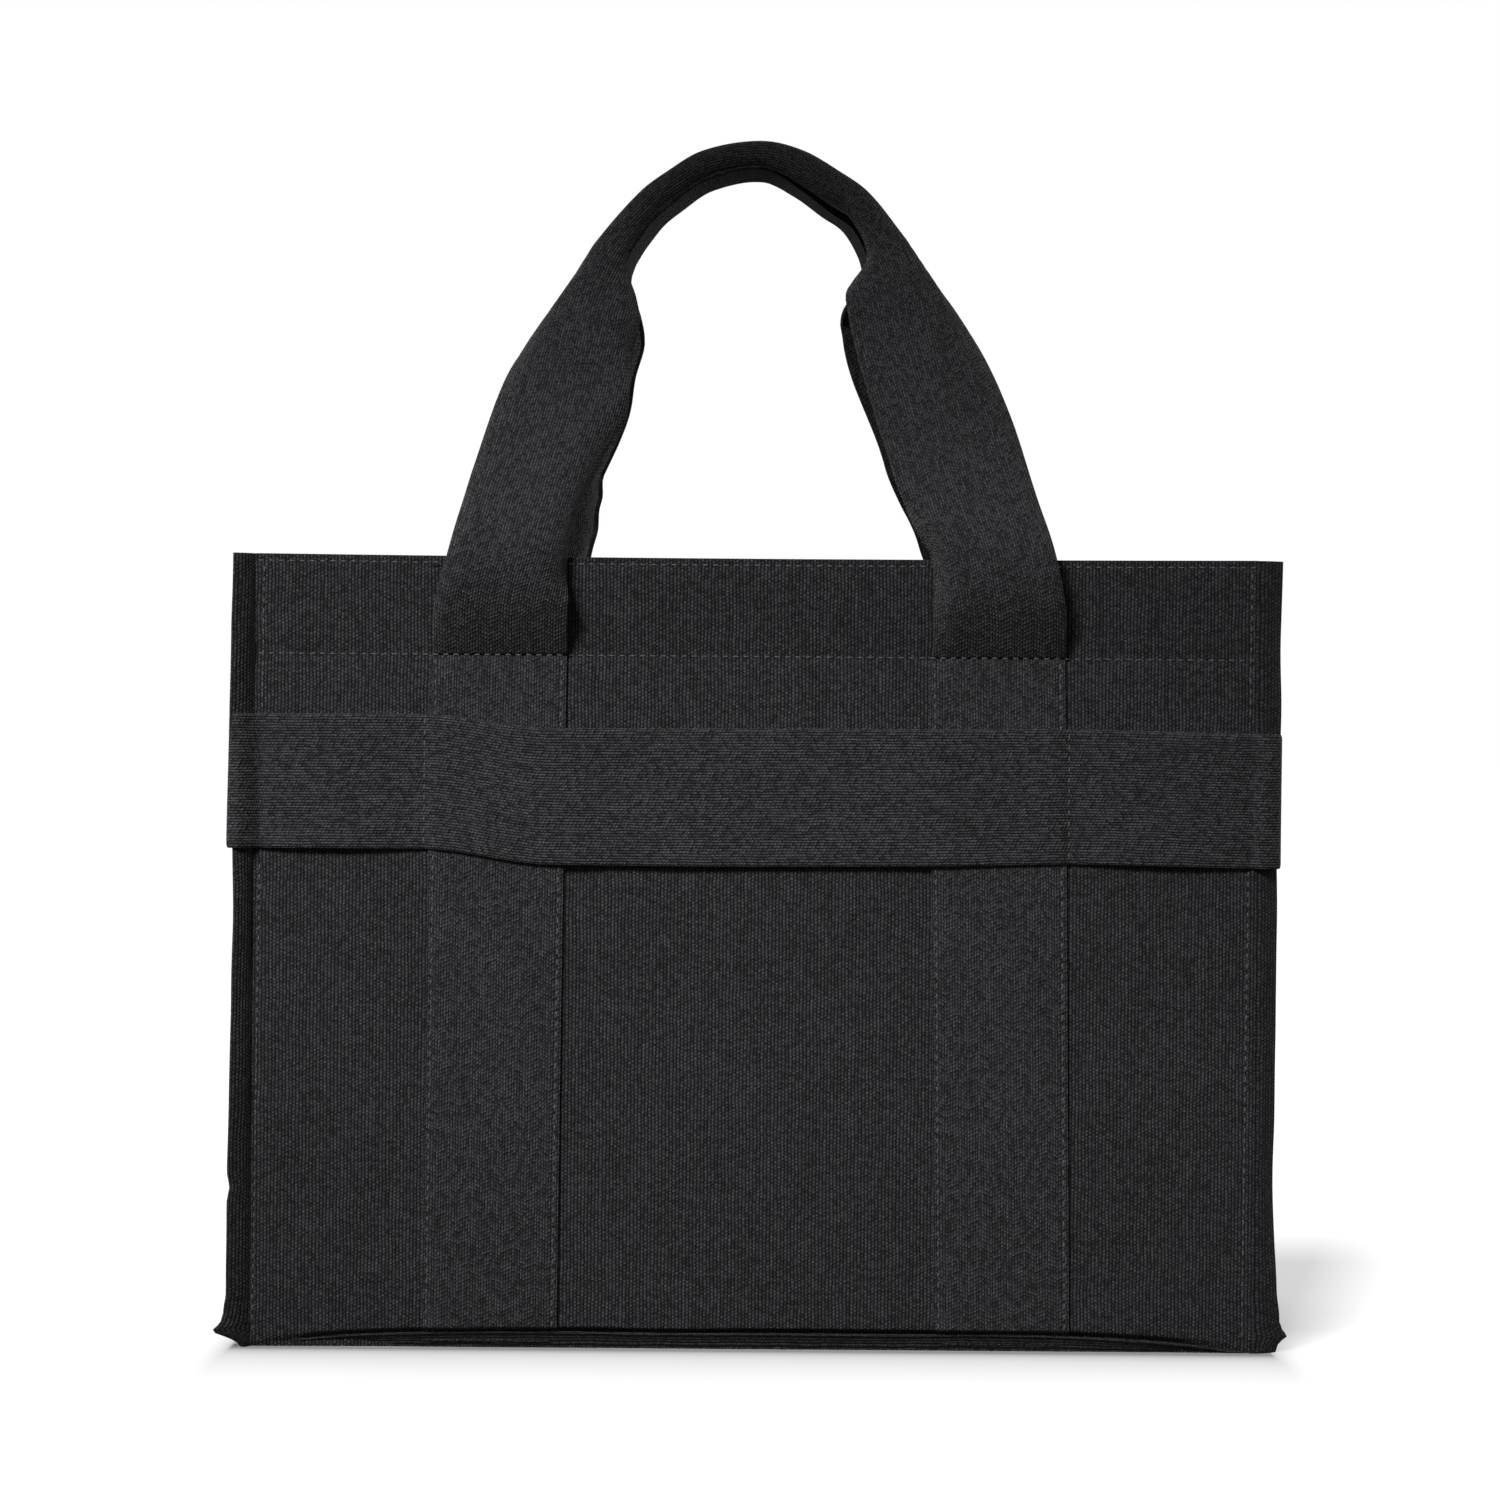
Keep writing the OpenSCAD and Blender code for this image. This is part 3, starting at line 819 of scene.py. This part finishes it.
# From the foot up, in millimetres seen from the front: a point of the outer
# edge (x, z), the inner edge across from it (x, z), and how far of the way
# between them lies outside the webbing's middle
RIGHT_LEG = [(118, 264, 66.5, 264, 25.7), (117, 283, 66.5, 282, 25.6), (112.5, 305, 64.5, 303, 25.5),
             (107, 325, 58, 316, 25.4), (97, 361, 47, 345.5, 25.3), (86, 390.5, 38.5, 378, 23),
             (78.5, 403, 35, 392, 18.5), (71, 413, 33.5, 402, 13), (64.5, 422, 34, 412, 9.5),
             (57, 432, 40.5, 423, 6.8), (43, 449.5, 33.5, 438.5, 6.2), (31.5, 458, 24, 445, 6.2),
             (17, 466.5, 12, 453, 6.2)]
LEFT_LEG = [(123.5, 264, 72, 264, 25.7), (122.5, 284, 71, 283, 25.6), (117.5, 303.5, 71, 300, 25.4),
            (113, 322.5, 70, 313, 25.3), (109, 338, 65.5, 326.5, 25.3), (99.5, 371.5, 53.6, 353, 24.8),
            (94, 386, 49.8, 367, 22.5), (87, 397, 48.3, 383, 17.5), (80, 406.5, 45.5, 397, 12.5),
            (73, 416, 47, 408, 9), (64, 429.5, 50.5, 422, 6.7), (47.5, 449, 39, 440, 6.2),
            (37.5, 457, 30.5, 447, 6.2), (23, 466, 18.5, 454.5, 6.2)]
CROWN = (0, 470.2, 0, 458, 6.2)
# The back handle is the same, with its legs spread a little: (height, shift)
BACK_SPREAD = {-1: [(264, 0), (325, -1.5), (340, 2), (352, 5.5), (410, 0)],
               1: [(264, 0), (290, 4), (325, 9.5), (355, 5), (400, 0)]}

# From the left foot over to the right foot
edges = [(-xo, zo, -xi, zi, reach) for xo, zo, xi, zi, reach in LEFT_LEG] + [CROWN] + RIGHT_LEG[::-1]
stations = []
for xo, zo, xi, zi, reach in edges:
    wide = math.dist((xo, zo), (xi, zi))
    share = reach / wide
    stations.append((xo + (xi - xo) * share, zo + (zi - zo) * share, math.atan2(zo - zi, xi - xo),
                     reach, wide - reach))
chords = [0]
for a, b in zip(stations, stations[1:]):
    chords.append(chords[-1] + math.dist(a[:2], b[:2]))


def station_at(s):
    """All five values at length s along the handle, on a smooth curve."""
    k = 0
    while k < len(chords) - 2 and chords[k + 1] < s:
        k += 1
    t = (s - chords[k]) / (chords[k + 1] - chords[k])
    row = []
    for c in range(5):
        p = [stations[min(max(k + n, 0), len(stations) - 1)][c] for n in (-1, 0, 1, 2)]
        at = [chords[min(max(k + n, 0), len(chords) - 1)] for n in (-1, 0, 1, 2)]
        span = at[2] - at[1]
        slope_a = (p[2] - p[0]) / (at[2] - at[0])
        slope_b = (p[3] - p[1]) / (at[3] - at[1])
        row.append((2 * t ** 3 - 3 * t * t + 1) * p[1] + (t ** 3 - 2 * t * t + t) * span * slope_a
                   + (3 * t * t - 2 * t ** 3) * p[2] + (t ** 3 - t * t) * span * slope_b)
    return row


CURL_STEPS = 18


def curl(reach):
    """Half the webbing from its middle to one edge, laid flat and then curled
    behind so that it reaches just so far: points (across, behind)."""
    wide = HALF_STRAP / MM
    # Once it curls, its thickness takes up a part of the reach
    reach -= 1.1 * min((wide - reach) / 3, 1)
    radius = 0.5 * reach
    # How far the part that isn't curled yet bends, in radians
    crown = 0.5 * min((wide - reach) / 12, 1) ** 2

    def bent(flat_part):
        points = [(0.0, 0.0)]
        for n in range(CURL_STEPS):
            at = wide * (n + 0.5) / CURL_STEPS
            a = crown * min(at / max(flat_part, 1), 1)
            a = min(a + max((at - flat_part) / radius, 0), 1.7)
            x, y = points[-1]
            points.append((x + wide / CURL_STEPS * math.cos(a), y + wide / CURL_STEPS * math.sin(a)))
        return points

    low, high = 0.0, wide
    for _ in range(20):
        flat_part = (low + high) / 2
        if max(p[0] for p in bent(flat_part)) > reach:
            high = flat_part
        else:
            low = flat_part
    return bent(flat_part)


def handle_lean(z):
    """How far from the bag's middle plane the webbing stands at height z."""
    h = z - RIM
    back = 0 if h <= 0 else LEAN * (h * h / (32 * MM) if h < 16 * MM else h - 8 * MM)
    return LEG_OUT - back


# Each leg bulges off the panel from its foot on: how far above the foot the
# bulge is greatest, how far above that it ends, and how great it is
BELLY = {-1: (38 * MM, 75 * MM, 14 * MM), 1: (35 * MM, 60 * MM, 13.5 * MM)}


def belly(x, z, inner):
    """How far a leg bulges: inner is 0 at its outer edge, which the handle
    keeps taut, and 1 at its inner edge, which is slack."""
    rise, fall, bulge = BELLY[1 if x > 0 else -1]
    up = z - HEM
    if up < rise:
        share = math.sin(math.pi / 2 * max(up, 0) / rise)
    else:
        share = eased([(0, 1), (fall, 0)], up - rise)
    return bulge * share * (0.7 + 0.3 * inner ** 0.6)


def lean_slope(z):
    """How much the webbing leans back for each metre up."""
    return (handle_lean(z - 1 * MM) - handle_lean(z + 1 * MM)) / (2 * MM)


handle_length = chords[-1]
handle_vs = steps((0, 16, 12), (16, 90, 30), (90, handle_length - 90, 130),
                  (handle_length - 90, handle_length - 16, 30), (handle_length - 16, handle_length, 12))


def handle_ring(s, depth):
    """The webbing's outer face across the handle at length s, from edge to edge."""
    x, z, a, first, second = station_at(s)
    along = Vector((math.sin(a), 0, math.cos(a)))
    slope = lean_slope(z * MM)
    along.y = slope * along.z
    along.normalize()
    openness = min(max((max(first, second) - 7) / 16, 0), 1)
    lay = Vector((0, -1, slope * openness))
    ahead = (lay - lay.dot(along) * along).normalized()
    side = along.cross(ahead)
    if depth == "back":
        sign = 1 if x > 0 else -1
        x += sign * eased(BACK_SPREAD[sign], z)
    middle = Vector((x * MM, -handle_lean(z * MM), z * MM))
    ring = [middle - (p[0] * side + p[1] * ahead) * MM for p in reversed(curl(first))]
    ring += [middle + (p[0] * side - p[1] * ahead) * MM for p in curl(second)[1:]]
    foot = max(0, 1 - (z * MM - HEM) / (50 * MM))
    for i, p in enumerate(ring):
        across = i / (2 * CURL_STEPS)
        p.y -= (out_at(p.x, p.z) - FACE - 0.3 * MM) * foot
        p.y -= belly(x, p.z, across if x < 0 else 1 - across)
    return ring


handle_us = list(range(2 * CURL_STEPS + 1))
# The handles' webbing has painted shade round the grip
handle_webbing = webbing_material("black_handle_webbing", WEBBING_BLACK, grip=handle_length / 2 * MM)
for depth in ("front", "back"):
    rings = {s: handle_ring(s, depth) for s in handle_vs}

    def handle_place(i, s, rings=rings):
        return rings[s][i]

    handle = cloth(depth + "_handle_webbing", handle_us, handle_vs, handle_place, WEB_T, handle_webbing,
                   edge=0.6 * MM, back=depth == "back")
    for corner in handle.data.uv_layers["weave"].uv:
        corner.vector = (corner.vector.x * STRAP_W / (2 * CURL_STEPS), corner.vector.y * MM)
    sign = -1 if depth == "front" else 1
    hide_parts(depth + "_handle")
    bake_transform(handle)


# ==== Thread ====
# Heavy black thread, 3.9 mm to a stitch: the facing's row, the rim's row,
# the straps' edges, the columns that hold the belt, and the corner seams.
thread, tree, shader = new_material("black_thread")
place = node(tree, "ShaderNodeTexCoord").outputs["Object"]
twist = node(tree, "ShaderNodeTexNoise", {"Vector": place, "Scale": 1600.0, "Detail": 3.0})
shade = calc(tree, "MULTIPLY_ADD", twist.outputs[0], 0.9, 0.6)
tint = node(tree, "ShaderNodeVectorMath", {0: (0.043, 0.043, 0.046), "Scale": shade}, operation="SCALE")
tree.links.new(tint.outputs[0], shader.inputs["Base Color"])
bump = node(tree, "ShaderNodeBump", {"Strength": 0.5, "Distance": 0.1 * MM, "Height": twist.outputs[0]})
tree.links.new(bump.outputs[0], shader.inputs["Normal"])
shader.inputs["Roughness"].default_value = 0.6
shader.inputs["Specular IOR Level"].default_value = 0.3
PITCH = 3.9 * MM
# Half a stitch's width, height and length
STITCH = (0.4 * MM, 0.32 * MM, 1.25 * MM)


def sew(name, rows):
    """Stitches along rows: each row is (point at distance t, its length, out)."""
    bm = bmesh.new()
    for path, length, out in rows:
        count = int(length / PITCH)
        for i in range(count):
            t = (i + 0.5) * length / count
            a, b = path(t - 0.9 * MM), path(t + 0.9 * MM)
            along = (b - a).normalized()
            side = out.cross(along).normalized()
            up = along.cross(side)
            turn = Matrix((side, up, along)).transposed().to_4x4()
            size = Matrix.Diagonal((*STITCH, 1))
            place = Matrix.Translation((a + b) / 2 + out * 0.05 * MM) @ turn @ size
            bmesh.ops.create_uvsphere(bm, u_segments=6, v_segments=4, radius=1, matrix=place)
    for f in bm.faces:
        f.smooth = True
    piece = placed(name, bm, thread)
    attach(piece, "bag")


def skin(x, z):
    """The outermost cloth on a panel at x and z: canvas, or a strap over it."""
    for side in ("left", "right"):
        u = x - strap_mid(side, z)
        if abs(u) < HALF_STRAP:
            return out_at(x, z) + WEB_T + web_swell(u)
    return out_at(x, z)


for sign, depth in ((-1, "front"), (1, "back")):
    out = Vector((0, sign, 0))

    def on_panel(x, z):
        return Vector((x, sign * skin(x, z), z + rim_lift(x, z)))

    rows = [(lambda t: on_panel(-HALF_W + t, HEM), 2 * HALF_W, out),
            (lambda t: on_panel(-HALF_W + t, RIM_ROW), 2 * HALF_W, out)]
    sew(depth + "_facing_stitches", rows)
    rows = []
    for side in ("left", "right"):
        for edge in (-1, 1):
            def on_strap(t, side=side, edge=edge):
                z = 4 * MM + t
                return on_panel(strap_mid(side, z) + edge * (HALF_STRAP - SEW_IN), z)

            rows.append((on_strap, HEM - 5 * MM, out))
    sew(depth + "_strap_stitches", rows)

for sign, name in ((1, "right"), (-1, "left")):
    def on_gusset(y, z, sign=sign):
        return Vector((sign * side_at(y, z), y, z))

    rows = [(lambda t: on_gusset(-DEPTH + t, HEM), 2 * DEPTH, Vector((sign, 0, 0))),
            (lambda t: on_gusset(-DEPTH + t, RIM_ROW), 2 * DEPTH, Vector((sign, 0, 0)))]
    sew(name + "_gusset_stitches", rows)

# Each corner column leans a little: (x at the foot, x at the rim)
COLUMNS = [(-HALF_W + 0.7 * MM, -HALF_W + 3.3 * MM), (HALF_W - 4.4 * MM, HALF_W - 2.4 * MM)]
rows = []
for sign in (-1, 1):
    for x_foot, x_rim in COLUMNS:
        for low, high in ((5 * MM, belt_low.z - 1 * MM), (belt_high.z + 5 * MM, RIM - 2 * MM)):
            def on_corner(t, sign=sign, x_foot=x_foot, x_rim=x_rim, low=low):
                x = x_foot + (x_rim - x_foot) * (low + t) / RIM
                return Vector((x, sign * out_at(x, low + t), low + t))

            rows.append((on_corner, high - low, Vector((0, sign, 0))))
sew("corner_stitches", rows)

rows = []
for sign in (-1, 1):
    for x in (-HALF_W + 2.4 * MM, LEFT_SEWN, RIGHT_SEWN, HALF_W - 3 * MM):
        near = min((i for i in range(belt_run) if outline[i].y * sign > 0),
                   key=lambda i: abs(outline[i].x - x))

        def on_belt(t, near=near):
            return belt_place(near, -half_belt + 1.2 * MM + t)

        rows.append((on_belt, BELT_W - 2.4 * MM, Vector((0, sign, 0))))
sew("belt_stitches", rows)
